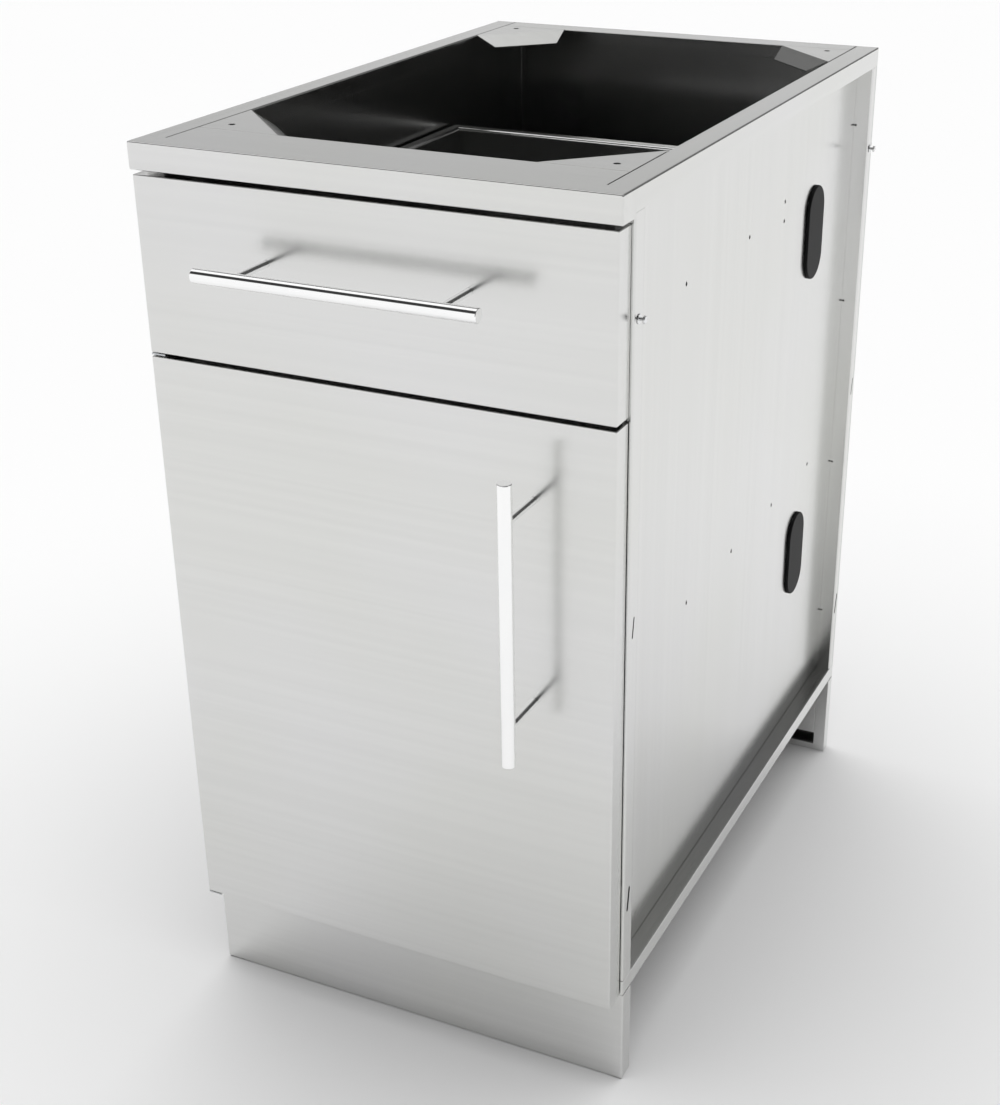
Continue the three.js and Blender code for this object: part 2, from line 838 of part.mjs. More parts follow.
// Door and its handle
const doorSpan = [doorBottom, doorTop];
const doorPostPlaces = [-1, 1].map((end) => [doorBarPlace, doorBarCentre + end * postSpacing / 2]);
const doorHoles = handleHoles(doorPostPlaces, frontThickness);
const pivotBoreRadius = pivotPinRadius + pivotBoreClearance;
const collarRadius = pivotBoreRadius + pivotCollarWall;
const pivotAxis = [pivotPlace, pivotSetback];
const pivotHole = rod(
  'z',
  collarRadius + seam,
  [doorBottom - overrun, doorTop + overrun],
  pivotAxis,
  postSides,
);
add('door_skin', cut(frontSkin(doorSpan), ...doorHoles, pivotHole), brushedSteel());
add('door_liner', cut(frontLiner(doorSpan), ...doorHoles), brushedSteel());

const doorBar = plainBar().translate(doorBarPlace, -barStandoff, doorBarCentre);
add('door_handle', barHandle(doorBar, doorPostPlaces), polishedSteel());
addHandleScrews('door', doorPostPlaces, linerBack + seam);

// Pivots: a plate with a pin above and below the door, and bushes inside its hinge corners
const plateSpan = [pivotPlateMargin - halfWidth, pivotPlateMargin - halfWidth + pivotPlateWidth];

function pivotPlate(back, [z0, z1], pinSpan) {
  const plate = block(plateSpan, [pivotPlateFront, back], [z0, z1]);
  return join(plate, rod('z', pivotPinRadius, pinSpan, pivotAxis, postSides));
}

const topPlateLow = doorTop + pivotTopGap;
const topPlateHigh = topPlateLow + pivotPlateThickness;
const topPinSpan = [topPlateHigh - pivotPinLength, topPlateHigh];
add(
  'hinge_plate_top',
  pivotPlate(frameSetback - seam, [topPlateLow, topPlateHigh], topPinSpan),
  zincSteel(),
);
const bottomPlateHigh = plinthHeight - seam;
const bottomPlateLow = bottomPlateHigh - pivotPlateThickness;
const bottomPinSpan = [bottomPlateLow, bottomPlateLow + pivotPinLength];
add(
  'hinge_plate_bottom',
  pivotPlate(toeKickSetback - seam, [bottomPlateLow, bottomPlateHigh], bottomPinSpan),
  zincSteel(),
);

function pivotBush([z0, z1], [collarLow, collarHigh]) {
  const edge = sheet + seam;
  const body = block(
    [edge - frontHalfWidth, edge - frontHalfWidth + bushLength],
    [edge, linerBack - sheet - seam],
    [z0, z1],
  );
  const collar = rod('z', collarRadius, [collarLow, collarHigh], pivotAxis, postSides);
  const boreSpan = [Math.min(z0, collarLow) - overrun, Math.max(z1, collarHigh) + overrun];
  const bore = rod('z', pivotBoreRadius, boreSpan, pivotAxis, postSides);
  return cut(join(body, collar), bore);
}

const bushEdge = sheet + seam;
const lowBush = [doorBottom + bushEdge, doorBottom + bushEdge + bushHeight];
const highBush = [doorTop - bushEdge - bushHeight, doorTop - bushEdge];
const lowCollar = [bottomPlateHigh + seam, lowBush[0] + bushEdge];
const highCollar = [highBush[1] - bushEdge, topPlateLow - seam];
add('door_bush_bottom', pivotBush(lowBush, lowCollar), whiteNylon());
add('door_bush_top', pivotBush(highBush, highCollar), whiteNylon());

// Magnetic catch under the middle rail and its strike plate on the door
const catchPlace = panelBack - catchInset;
const catchSpan = [catchPlace - catchWidth / 2, catchPlace + catchWidth / 2];
const catchTop = middleRailBottom - seam;
const catchBody = block(
  catchSpan,
  [frameSetback, frameSetback + catchDepth],
  [catchTop - catchHeight, catchTop],
);
add('door_catch', catchBody, blackPlastic());
const strikePlate = block(
  catchSpan,
  [linerBack + seam, linerBack + seam + strikeThickness],
  [catchTop - catchHeight, catchTop],
);
add('door_strike_plate', strikePlate, zincSteel());

// Rubber bumpers on the door's back, in line with the right front stile
const bumperPlace = halfWidth - sideRecess / 2;
const bumperSpan = [linerBack + seam, frameSetback - seam];
const bumper = (height) => rod('y', bumperRadius, bumperSpan, [bumperPlace, height]);
add('door_bumper_bottom', bumper(doorBottom + bumperInset), clearRubber());
add('door_bumper_top', bumper(doorTop - bumperInset), clearRubber());

// The origin lies on the floor, under the middle of the whole cabinet with its handles and studs
const handleReach = barStandoff + barRadius;
cabinet.position.set(-studReach / 2, (handleReach - cabinetDepth) / 2, 0);

export default cabinet;
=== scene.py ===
import cmath
import math

import bmesh
import bpy
from mathutils import Matrix, Vector


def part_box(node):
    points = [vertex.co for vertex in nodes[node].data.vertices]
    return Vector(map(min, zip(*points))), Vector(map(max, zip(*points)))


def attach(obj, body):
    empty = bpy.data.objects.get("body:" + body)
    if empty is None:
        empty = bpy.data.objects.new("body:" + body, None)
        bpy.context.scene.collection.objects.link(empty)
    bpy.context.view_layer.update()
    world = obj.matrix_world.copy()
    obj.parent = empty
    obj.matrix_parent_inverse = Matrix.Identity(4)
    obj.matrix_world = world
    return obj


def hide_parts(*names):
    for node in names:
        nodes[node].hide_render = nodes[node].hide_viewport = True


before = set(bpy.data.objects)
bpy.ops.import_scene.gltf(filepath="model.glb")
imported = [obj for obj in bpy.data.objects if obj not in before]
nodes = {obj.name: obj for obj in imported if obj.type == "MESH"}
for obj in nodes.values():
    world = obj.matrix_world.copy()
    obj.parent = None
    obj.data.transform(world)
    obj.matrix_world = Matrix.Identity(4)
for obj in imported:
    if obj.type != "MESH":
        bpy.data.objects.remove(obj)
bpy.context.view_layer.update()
scene = bpy.context.scene


# Camera
# The photograph is taken from in front, to the right and above, with a lens a little longer
# than normal, so that the uprights stay almost parallel.
camera_place = (0.7288, -1.5288, 1.2007)
camera_turn = math.radians(25.06)
camera_dip = math.radians(25.77)
camera_roll = math.radians(0.24)
camera_lens = 57.4
camera_shift = (-0.0469, 0.0104)

camera_data = bpy.data.cameras.new("camera")
camera_data.lens = camera_lens
camera_data.shift_x, camera_data.shift_y = camera_shift
camera = bpy.data.objects.new("camera", camera_data)
camera.matrix_world = (
    Matrix.Translation(camera_place)
    @ Matrix.Rotation(camera_turn, 4, "Z")
    @ Matrix.Rotation(math.pi / 2 - camera_dip, 4, "X")
    @ Matrix.Rotation(-camera_roll, 4, "Z")
)
scene.collection.objects.link(camera)
scene.camera = camera
scene.view_settings.view_transform = "Standard"


# Studio
# A white floor that runs on into a white backdrop. The steel mirrors the room round it: pale
# walls on the left, a dark half on the right, and a light ceiling with a dark strip in front.
def put(tree, kind, values=None, **settings):
    """Adds a node with its settings, and with the values of its free sockets."""
    node = tree.nodes.new(kind)
    for setting, choice in settings.items():
        setattr(node, setting, choice)
    for socket, value in (values or {}).items():
        node.inputs[socket].default_value = value
    return node


def ramp(tree, factor, stops):
    """A grey ramp through (place, brightness) stops."""
    node = tree.nodes.new("ShaderNodeValToRGB")
    marks = node.color_ramp.elements
    while len(marks) < len(stops):
        marks.new(0.5)
    for mark, (place, grey) in zip(marks, stops):
        mark.position = place
        mark.color = (grey, grey, grey, 1)
    tree.links.new(factor, node.inputs["Fac"])
    return node.outputs["Color"]


# Brightness of the room by height, from the floor in front (0), overhead (0.5), to the back (1)
pale_half = [
    (0.0, 1.0), (0.20, 1.0), (0.23, 0.04), (0.44, 0.04), (0.47, 1.1), (0.69, 1.1), (0.74, 0.14),
    (0.83, 0.14), (0.89, 0.56), (0.925, 0.61), (0.95, 0.76), (1.0, 1.0),
]
dark_half = [
    (0.0, 0.1), (0.28, 0.1), (0.31, 0.04), (0.515, 0.04), (0.545, 0.8), (0.70, 0.7), (0.77, 0.22),
    (0.84, 0.14), (1.0, 0.2),
]
room_edge = (-0.12, 0.12)
# How many mirror images deep, one inside another, the room and the floor stay in view; deeper than that
# both turn black, and the black floor is painted shade inside the cabinet and in its gaps
glossy_reach = 3.5

world = bpy.data.worlds.new("studio")
world.use_nodes = True
scene.world = world
room = world.node_tree
room.nodes.clear()
direction = put(room, "ShaderNodeTexCoord")
split = put(room, "ShaderNodeSeparateXYZ")
room.links.new(direction.outputs["Generated"], split.inputs[0])
forward = put(room, "ShaderNodeMath", {1: -1.0}, operation="MULTIPLY")
room.links.new(split.outputs["Y"], forward.inputs[0])
height = put(room, "ShaderNodeMath", operation="ARCTAN2")
room.links.new(split.outputs["Z"], height.inputs[0])
room.links.new(forward.outputs[0], height.inputs[1])
share = put(room, "ShaderNodeMath", {1: math.pi}, operation="DIVIDE")
room.links.new(height.outputs[0], share.inputs[0])
side = put(room, "ShaderNodeMapRange", {1: room_edge[0], 2: room_edge[1]}, interpolation_type="SMOOTHSTEP")
room.links.new(split.outputs["X"], side.inputs["Value"])
walls = put(room, "ShaderNodeMix", data_type="RGBA")
room.links.new(side.outputs["Result"], walls.inputs["Factor"])
room.links.new(ramp(room, share.outputs[0], pale_half), walls.inputs["A"])
room.links.new(ramp(room, share.outputs[0], dark_half), walls.inputs["B"])
seen = put(room, "ShaderNodeLightPath")
backdrop = put(room, "ShaderNodeMix", {"B": (1, 1, 1, 1)}, data_type="RGBA")
room.links.new(seen.outputs["Is Camera Ray"], backdrop.inputs["Factor"])
room.links.new(walls.outputs["Result"], backdrop.inputs["A"])
glow = put(room, "ShaderNodeBackground")
room.links.new(backdrop.outputs["Result"], glow.inputs["Color"])
# The room is seen and mirrored, but only the lamp lights what is matt
direct = put(room, "ShaderNodeMath", {1: 0.5}, operation="LESS_THAN")
room.links.new(seen.outputs["Diffuse Depth"], direct.inputs[0])
open_view = put(room, "ShaderNodeMath", {1: glossy_reach}, operation="LESS_THAN")
room.links.new(seen.outputs["Glossy Depth"], open_view.inputs[0])
reached = put(room, "ShaderNodeMath", operation="MULTIPLY")
room.links.new(direct.outputs[0], reached.inputs[0])
room.links.new(open_view.outputs[0], reached.inputs[1])
room.links.new(reached.outputs[0], glow.inputs["Strength"])
world.cycles_visibility.diffuse = False
room_out = put(room, "ShaderNodeOutputWorld")
room.links.new(glow.outputs[0], room_out.inputs["Surface"])

floor_reach = 30
floor_mesh = bpy.data.meshes.new("floor")
floor_mesh.from_pydata(
    [(x * floor_reach, y * floor_reach, 0) for x, y in ((-1, -1), (1, -1), (1, 1), (-1, 1))],
    [],
    [(0, 1, 2, 3)],
)
floor = bpy.data.objects.new("floor", floor_mesh)
scene.collection.objects.link(floor)

# White paint that takes the soft shadow and throws only part of its light back on matt surfaces
floor_white = (0.94, 0.94, 0.94, 1)
floor_bounce = (0.45, 0.45, 0.45, 1)
floor_paint = bpy.data.materials.new("floor paint")
floor_paint.use_nodes = True
paint = floor_paint.node_tree
paint.nodes.clear()
path_seen = put(paint, "ShaderNodeLightPath")
second = put(paint, "ShaderNodeMath", {1: 0.5}, operation="GREATER_THAN")
paint.links.new(path_seen.outputs["Diffuse Depth"], second.inputs[0])
white = put(paint, "ShaderNodeMix", {"A": floor_white, "B": floor_bounce}, data_type="RGBA")
paint.links.new(second.outputs[0], white.inputs["Factor"])
# Past glossy_reach mirror images deep the floor's colour drops to black: painted shade for the cabinet's
# inside and the gaps round the fronts
shallow = put(paint, "ShaderNodeMath", {1: glossy_reach}, operation="LESS_THAN")
paint.links.new(path_seen.outputs["Glossy Depth"], shallow.inputs[0])
white_with_painted_shade = put(paint, "ShaderNodeVectorMath", operation="SCALE")
paint.links.new(white.outputs["Result"], white_with_painted_shade.inputs[0])
paint.links.new(shallow.outputs[0], white_with_painted_shade.inputs["Scale"])
matt = put(paint, "ShaderNodeBsdfDiffuse")
paint.links.new(white_with_painted_shade.outputs[0], matt.inputs["Color"])
paint_out = put(paint, "ShaderNodeOutputMaterial")
paint.links.new(matt.outputs[0], paint_out.inputs["Surface"])
floor_mesh.materials.append(floor_paint)

# A tent of light overhead, a little stronger from the left, gives the soft shadow all round
lamp_place = (-1, 0.5, 2.5)
lamp_strength = 3.36
lamp_spread = math.radians(116)
lamp_tilt = Matrix.Rotation(math.radians(-6), 4, "Y") @ Matrix.Rotation(math.radians(-11), 4, "X")
lamp_data = bpy.data.lights.new("soft lamp", "SUN")
lamp_data.energy = lamp_strength
lamp_data.angle = lamp_spread
lamp = bpy.data.objects.new("soft lamp", lamp_data)
lamp.matrix_world = Matrix.Translation(lamp_place) @ lamp_tilt
lamp.visible_glossy = False
scene.collection.objects.link(lamp)


# Plinth
# A set-back toe kick in front, and a rear toe plate with narrow folded lips and a brace. All are
# of stainless sheet, sheared and folded on a press brake, with their edges eased by hand.
def make_brush_lines():
    """Fine brush lines, broad bands of them and soft clouds, from the piece's own place."""
    group = bpy.data.node_groups.new("brush lines", "ShaderNodeTree")
    face = group.interface
    face.new_socket("Lines per metre", in_out="INPUT", socket_type="NodeSocketVector")
    face.new_socket("Bands per metre", in_out="INPUT", socket_type="NodeSocketVector")
    face.new_socket("Lines", in_out="OUTPUT", socket_type="NodeSocketFloat")
    face.new_socket("Bands", in_out="OUTPUT", socket_type="NodeSocketFloat")
    face.new_socket("Clouds", in_out="OUTPUT", socket_type="NodeSocketFloat")
    given = group.nodes.new("NodeGroupInput")
    result = group.nodes.new("NodeGroupOutput")
    place = put(group, "ShaderNodeTexCoord")
    for socket, out in (("Lines per metre", "Lines"), ("Bands per metre", "Bands")):
        scaled = put(group, "ShaderNodeVectorMath", operation="MULTIPLY")
        group.links.new(place.outputs["Object"], scaled.inputs[0])
        group.links.new(given.outputs[socket], scaled.inputs[1])
        noise = put(group, "ShaderNodeTexNoise", {"Scale": 1.0, "Detail": 2.0, "Roughness": 0.6})
        group.links.new(scaled.outputs[0], noise.inputs["Vector"])
        group.links.new(noise.outputs["Fac"], result.inputs[out])
    clouds = put(group, "ShaderNodeTexNoise", {"Scale": 3.5, "Detail": 2.0, "Roughness": 0.5})
    group.links.new(place.outputs["Object"], clouds.inputs["Vector"])
    group.links.new(clouds.outputs["Fac"], result.inputs["Clouds"])
    return group


def new_finish(name):
    """A new material, with its node tree and its shader."""
    material = bpy.data.materials.new(name)
    material.use_nodes = True
    tree = material.node_tree
    return material, tree, tree.nodes["Principled BSDF"]


def stretched(tree, value, span, least=0.0, most=1.0):
    """Stretches a span of a noise over the range from least to most."""
    node = put(tree, "ShaderNodeMapRange", {1: span[0], 2: span[1], 3: least, 4: most})
    tree.links.new(value, node.inputs["Value"])
    return node.outputs["Result"]


def blended(tree, value, first, second):
    """Colour between the first and the second, by a value."""
    node = put(tree, "ShaderNodeMix", {"A": first, "B": second}, data_type="RGBA")
    tree.links.new(value, node.inputs["Factor"])
    return node.outputs["Result"]


def raise_grain(tree, value, strength, depth, shader):
    """Gives the shader a fine relief, by a value."""
    relief = put(tree, "ShaderNodeBump", {"Strength": strength, "Distance": depth})
    tree.links.new(value, relief.inputs["Height"])
    tree.links.new(relief.outputs["Normal"], shader.inputs["Normal"])


brush_lines = make_brush_lines()
noise_span = (0.3, 0.7)
steel_cool = (0.722, 0.722, 0.719, 1)
steel_warm = (0.708, 0.710, 0.694, 1)
steel_clouds = (0.38, 0.62)
steel_roughness = (0.185, 0.225)
streak_shade = (0.972, 1.012)
line_depth = 0.000012
line_strength = 0.09
# Steps per metre of the brush lines and of the bands: across them, and the way they run
line_steps = (2600.0, 14.0)
band_steps = (160.0, 0.8)


def brushed_sheet(name, along):
    """Brushed stainless sheet whose lines run along X, Y or Z."""
    material, tree, steel = new_finish(name)
    steel.inputs["Metallic"].default_value = 1.0
    brush = put(tree, "ShaderNodeGroup", node_tree=brush_lines)
    for socket, (wide, long) in (("Lines per metre", line_steps), ("Bands per metre", band_steps)):
        steps = [wide] * 3
        steps["XYZ".index(along)] = long
        brush.inputs[socket].default_value = steps
    clouds = stretched(tree, brush.outputs["Clouds"], steel_clouds)
    colour = put(tree, "ShaderNodeVectorMath", operation="SCALE")
    tree.links.new(blended(tree, clouds, steel_cool, steel_warm), colour.inputs[0])
    streaks = stretched(tree, brush.outputs["Bands"], noise_span, *streak_shade)
    tree.links.new(streaks, colour.inputs["Scale"])
    tree.links.new(colour.outputs[0], steel.inputs["Base Color"])
    gloss = stretched(tree, brush.outputs["Lines"], noise_span, *steel_roughness)
    tree.links.new(gloss, steel.inputs["Roughness"])
    raise_grain(tree, brush.outputs["Lines"], line_strength, line_depth, steel)
    return material


corner_reach = 0.00001
edge_steps = 3


def dress(names, material, edge, fold=40):
    """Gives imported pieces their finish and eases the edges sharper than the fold, in degrees."""
    for name in names:
        piece = nodes[name]
        piece.material_slots[0].material = material
        joined = piece.modifiers.new("joined corners", "WELD")
        joined.merge_threshold = corner_reach
        rounded = piece.modifiers.new("eased edges", "BEVEL")
        rounded.width = edge
        rounded.segments = edge_steps
        rounded.limit_method = "ANGLE"
        rounded.angle_limit = math.radians(fold)


def eased(corners, bends, steps=5):
    """The line through the corners, with each bend rounded and held by a short flat."""
    flat = 0.0001
    line = [corners[0]]
    for before, corner, after, bend in zip(corners, corners[1:], corners[2:], bends):
        if not bend:
            line.append(corner)
            continue
        back = (before - corner) / abs(before - corner)
        ahead = (after - corner) / abs(after - corner)
        half = abs(cmath.phase(ahead / back)) / 2
        middle = corner + (back + ahead) / abs(back + ahead) * bend / math.sin(half)
        start = corner + back * bend / math.tan(half)
        end = corner + ahead * bend / math.tan(half)
        turn = cmath.phase((end - middle) / (start - middle))
        line.append(start + back * flat)
        for step in range(steps + 1):
            line.append(middle + (start - middle) * cmath.exp(1j * turn * step / steps))
        line.append(end + ahead * flat)
    line.append(corners[-1])
    return line


least_radius = 0.0001


def rounded_loop(low, high, inset, corner):
    """Closed outline of a rectangle with rounded corners, drawn in from its box by the inset."""
    radius = max(corner - inset, least_radius)
    left, right = low.real + inset, high.real - inset
    foot, head = low.imag + inset, high.imag - inset
    start = complex((left + right) / 2, foot)
    corners = [complex(right, foot), complex(right, head), complex(left, head), complex(left, foot)]
    return eased([start, *corners, start], [radius] * 4)[:-1]


def placed(axis, along, point):
    """A flat point, set at a place along the axis, as X, Y and Z."""
    place = [point.real, point.imag]
    place.insert("XYZ".index(axis), along)
    return tuple(place)


def drawn_out(axis, outline, ends):
    """Rings of one outline at each of the ends along the axis."""
    return [[placed(axis, along, point) for point in outline] for along in ends]


def add_rings(shape, rings, ring_shut):
    """Skins a row of rings, and either caps its ends or joins the last ring to the first."""
    rows = [[shape.verts.new(point) for point in ring] for ring in rings]
    count = len(rows[0])
    pairs = list(zip(rows, rows[1:]))
    if ring_shut:
        pairs.append((rows[-1], rows[0]))
    else:
        shape.faces.new(rows[0])
        shape.faces.new(rows[-1])
    for low, high in pairs:
        for step in range(count):
            after = (step + 1) % count
            shape.faces.new((low[step], low[after], high[after], high[step]))


def mesh_from(name, shells, ring_shut=False):
    """Mesh made of shells, each a row of rings of points, smooth over its bends."""
    shape = bmesh.new()
    for rings in shells:
        add_rings(shape, rings, ring_shut)
    bmesh.ops.recalc_face_normals(shape, faces=shape.faces)
    mesh = bpy.data.meshes.new(name)
    shape.to_mesh(mesh)
    shape.free()
    return mesh


crease = math.radians(32)


def build(name, shells, material, body, stands_for=(), ring_shut=False, cuts=()):
    """Makes a piece from shells, cuts its openings and fits it to the model."""
    mesh = mesh_from(name, shells, ring_shut)
    piece = bpy.data.objects.new(name, mesh)
    scene.collection.objects.link(piece)
    if cuts:
        cutter_mesh = mesh_from("cutter", cuts)
        cutter = bpy.data.objects.new("cutter", cutter_mesh)
        scene.collection.objects.link(cutter)
        opening = piece.modifiers.new("openings", "BOOLEAN")
        opening.object = cutter
        opening.solver = "EXACT"
        opening.operation = "DIFFERENCE"
        worked = piece.evaluated_get(bpy.context.evaluated_depsgraph_get())
        mesh = bpy.data.meshes.new_from_object(worked)
        mesh.name = name
        piece.modifiers.clear()
        piece.data = mesh
        bpy.data.objects.remove(cutter)
        bpy.data.meshes.remove(cutter_mesh)
    mesh.shade_smooth()
    mesh.set_sharp_from_angle(angle=crease)
    mesh.materials.clear()
    mesh.materials.append(material)
    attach(piece, body)
    if stands_for:
        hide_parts(*stands_for)
    return piece


def pan(low, high, axis, opening, bend, corner):
    """Rings of a sheet folded back all round. It opens along an axis, on the +1 or -1 side."""
    main = "XYZ".index(axis)
    first, second = [direction for direction in range(3) if direction != main]
    closed, open_end = (low[main], high[main]) if opening > 0 else (high[main], low[main])
    foot, head = complex(low[first], low[second]), complex(high[first], high[second])
    inner = closed + opening * sheet
    line = eased(
        [
            complex(pan_reach, inner),
            complex(sheet, inner),
            complex(sheet, open_end),
            complex(0, open_end),
            complex(0, closed),
            complex(pan_reach, closed),
        ],
        [bend - sheet, cut_edge, cut_edge, bend],
    )
    rings = []
    for at in line:
        loop = rounded_loop(foot, head, at.real, corner)
        rings.append([placed(axis, at.imag, point) for point in loop])
    return rings


sheet = 0.0012
seam = 0.0002
cut_edge = 0.0002
pan_reach = 0.004
fold_bend = 0.0016
toe_bend = 0.0012
toe_lift = 0.0008
sheet_edge = 0.0004
steel_across = brushed_sheet("brushed steel, lines across", "X")
steel_upright = brushed_sheet("brushed steel, lines upright", "Z")
steel_inward = brushed_sheet("brushed steel, lines front to back", "Y")

low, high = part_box("toe_kick")
low = Vector((low.x, low.y, low.z + toe_lift))
toe_rings = pan(low, high, "Y", 1, toe_bend, toe_bend)
build("folded_toe_kick", [toe_rings], steel_across, "cabinet", ["toe_kick"])
dress(["rear_toe_plate", "rear_toe_brace"], steel_across, sheet_edge)


# Sills and floor pan
# Two box-section sills, closed in front, run from the front stiles to the rear ones and carry the
# floor pan between them. All three are folded from the same sheet.
for side in ("left", "right"):
    node = f"bottom_side_rail_{side}"
    low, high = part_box(node)
    sill_rings = pan(low, high, "Y", 1, fold_bend, fold_bend)
    build(f"folded_sill_{side}", [sill_rings], steel_inward, "cabinet", [node])
dress(["floor_pan"], steel_inward, sheet_edge)


# Stiles
# Folded box uprights at the four corners, welded to the sills and the rims and ground flush.
# Slots and a stud hole join two cabinets. The rear ones have a row of small tie holes.
def oblong(middle, width, height, lean=0.0, steps=20):
    """Upright oblong with round ends as points of Y and Z, leaned over at the top."""
    radius = width / 2
    reach = height / 2 - radius
    line = []
    for step in range(2 * steps + 2):
        end = 1 if step <= steps else -1
        turn = math.pi * (step - (step > steps)) / steps
        point = radius * cmath.exp(1j * turn) + complex(0, end * reach)
        line.append(middle + point * cmath.exp(-1j * lean))
    return line


def turned(axis, middle, outline, steps=40):
    """Rings of a turned piece; each outline point is its radius and its place on the axis."""
    turns = [cmath.exp(2j * math.pi * step / steps) for step in range(steps)]
    return [
        [placed(axis, point.imag, complex(*middle) + point.real * turn) for turn in turns]
        for point in outline
    ]


slot_lean = math.radians(10)
lower_slot = (0.210, 0.0036, 0.026)
middle_slot = (0.494, 0.0024, 0.020)
stud_hole_radius = 0.0018
stud_height = (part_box("connector_stud_front")[0].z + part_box("connector_stud_front")[1].z) / 2
tie_holes = [0.2015, 0.3995, 0.5974, 0.7954]
tie_hole_radius = 0.0013
tie_hole_inset = 0.0016
cut_depth = 0.004
tie_cut_depth = 0.003
small_round_steps = 24

for end in ("front", "rear"):
    for side, sign in (("left", -1), ("right", 1)):
        node = f"{end}_stile_{side}"
        low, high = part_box(node)
        middle_y = (low.y + high.y) / 2
        outside = high.x if sign > 0 else low.x
        foot, head = low.z - seam, high.z - sheet_edge
        line = eased(
            [
                complex(0, (foot + head) / 2),
                complex(0, head),
                complex(sheet, head),
                complex(sheet, foot),
                complex(0, foot),
                complex(0, (foot + head) / 2),
            ],
            [least_radius] * 4,
        )[:-1]
        tube = []
        for at in line:
            loop = rounded_loop(complex(low.x, low.y), complex(high.x, high.y), at.real, fold_bend)
            tube.append([placed("Z", at.imag, point) for point in loop])
        through = (outside - sign * cut_depth, outside + sign * cut_depth)
        cuts = []
        for height, width, length in (lower_slot, middle_slot):
            slot_line = oblong(complex(middle_y, height), width, length, slot_lean)
            cuts.append(drawn_out("X", slot_line, through))
        bore = [complex(stud_hole_radius, x) for x in through]
        cuts.append(turned("X", (middle_y, stud_height), bore, small_round_steps))
        if end == "rear":
            panel_low, panel_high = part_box(f"side_panel_{side}")
            tie_x = panel_high.x + tie_hole_inset if sign > 0 else panel_low.x - tie_hole_inset
            tie_ends = (low.y - tie_cut_depth, low.y + tie_cut_depth)
            bore = [complex(tie_hole_radius, y) for y in tie_ends]
            cuts += [turned("Y", (tie_x, height), bore, small_round_steps) for height in tie_holes]
        build(
            f"folded_{node}", [tube], steel_upright, "cabinet", [node],
            ring_shut=True, cuts=cuts,
        )


# Side panels and back panel
# Flat brushed sheets with upright lines. The side ones are welded between the stiles, set back
# from their faces, and are pierced for the studs and the cable plugs. The back one is plain.
dress(["side_panel_left", "side_panel_right", "back_panel"], steel_upright, sheet_edge)


# Cable plugs
# Black moulded plugs that close the cable openings: a proud oblong rim with a rounded edge,
# and behind it a hollow body that snaps into the sheet.
def piece_noise(tree, scale, detail=2.0, roughness=0.5):
    """Noise laid out from the piece's own place."""
    place = put(tree, "ShaderNodeTexCoord")
    values = {"Scale": scale, "Detail": detail, "Roughness": roughness}
    noise = put(tree, "ShaderNodeTexNoise", values)
    tree.links.new(place.outputs["Object"], noise.inputs["Vector"])
    return noise.outputs["Fac"]


mould_patch_scale = 60.0
mould_unevenness = 0.06
mould_grain_strength = 0.4
mould_grain_depth = 0.00004


def moulded_plastic(name, dark, light, roughness, grain):
    """Plastic with a fine moulded grain and a slightly uneven colour."""
    material, tree, plastic = new_finish(name)
    patches = piece_noise(tree, mould_patch_scale, 3.0)
    tree.links.new(blended(tree, patches, dark, light), plastic.inputs["Base Color"])
    pores = piece_noise(tree, grain)
    dull = stretched(tree, pores, noise_span, roughness - mould_unevenness, roughness + mould_unevenness)
    tree.links.new(dull, plastic.inputs["Roughness"])
    raise_grain(tree, pores, mould_grain_strength, mould_grain_depth, plastic)
    return material


plug_wall = 0.0016
plug_edge = 0.0013
plug_rim_overlap = 0.0033
plug_cup_floor = 0.0022
plug_floor_reach = 0.004
plug_face_reach = 0.012
plug_bends = [0.0006, 0.0003, 0.0005, 0, 0.0003, plug_edge]
plug_gloss = 0.12
black_plastic = moulded_plastic(
    "moulded black plastic", (0.007, 0.007, 0.008, 1), (0.013, 0.013, 0.013, 1), 0.50, 2500.0
)
plug_shader = black_plastic.node_tree.nodes["Principled BSDF"]
plug_shader.inputs["Specular IOR Level"].default_value = plug_gloss

for level in ("upper", "lower"):
    for side, sign in (("left", -1), ("right", 1)):
        node = f"cable_plug_{level}_{side}"
        low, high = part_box(node)
        panel_low, panel_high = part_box(f"side_panel_{side}")
        panel = panel_high.x if sign > 0 else panel_low.x
        outside = high.x if sign > 0 else low.x
        inside = low.x if sign > 0 else high.x
        middle = complex((low.y + high.y) / 2, (low.z + high.z) / 2)
        span = (high.y - low.y, high.z - low.z)
        body_edge = plug_rim_overlap
        cup_edge = plug_rim_overlap + plug_wall
        floor_x = outside - sign * plug_cup_floor
        behind = panel + sign * seam
        line = eased(
            [
                complex(cup_edge + plug_floor_reach, floor_x),
                complex(cup_edge, floor_x),
                complex(cup_edge, inside),
                complex(body_edge, inside),
                complex(body_edge, behind),
                complex(0, behind),
                complex(0, outside),
                complex(plug_face_reach, outside),
            ],
            plug_bends,
        )
        rings = []
        for at in line:
            loop = oblong(middle, span[0] - 2 * at.real, span[1] - 2 * at.real)
            rings.append([placed("X", at.imag, point) for point in loop])
        build(f"moulded_plug_{level}_{side}", [rings], black_plastic, "cabinet", [node])


